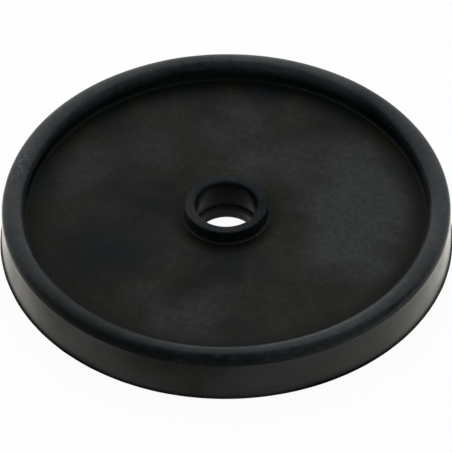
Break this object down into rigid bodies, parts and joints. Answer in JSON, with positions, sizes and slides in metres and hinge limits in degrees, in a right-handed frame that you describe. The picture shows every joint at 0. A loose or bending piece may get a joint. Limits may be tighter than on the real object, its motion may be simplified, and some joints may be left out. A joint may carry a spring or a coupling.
{
  "type": "pump diaphragm",
  "caption": "Round moulded rubber diaphragm for a reciprocating pump, with a beaded rim, a flat web and a short central collar with a stepped bore.",
  "frame": {"origin": "centre of the hole at the plane of the flat underside", "axes": "+Z along the bore, from the flat underside towards the collar and the beaded rim; X and Y are free, because the part is round"},
  "size_m": [0.098, 0.098, 0.0117],
  "materials": {
    "rubber": "satin"
  },
  "bodies": {
    "root": {"diaphragm": "rubber"}
  },
  "joints": []
}
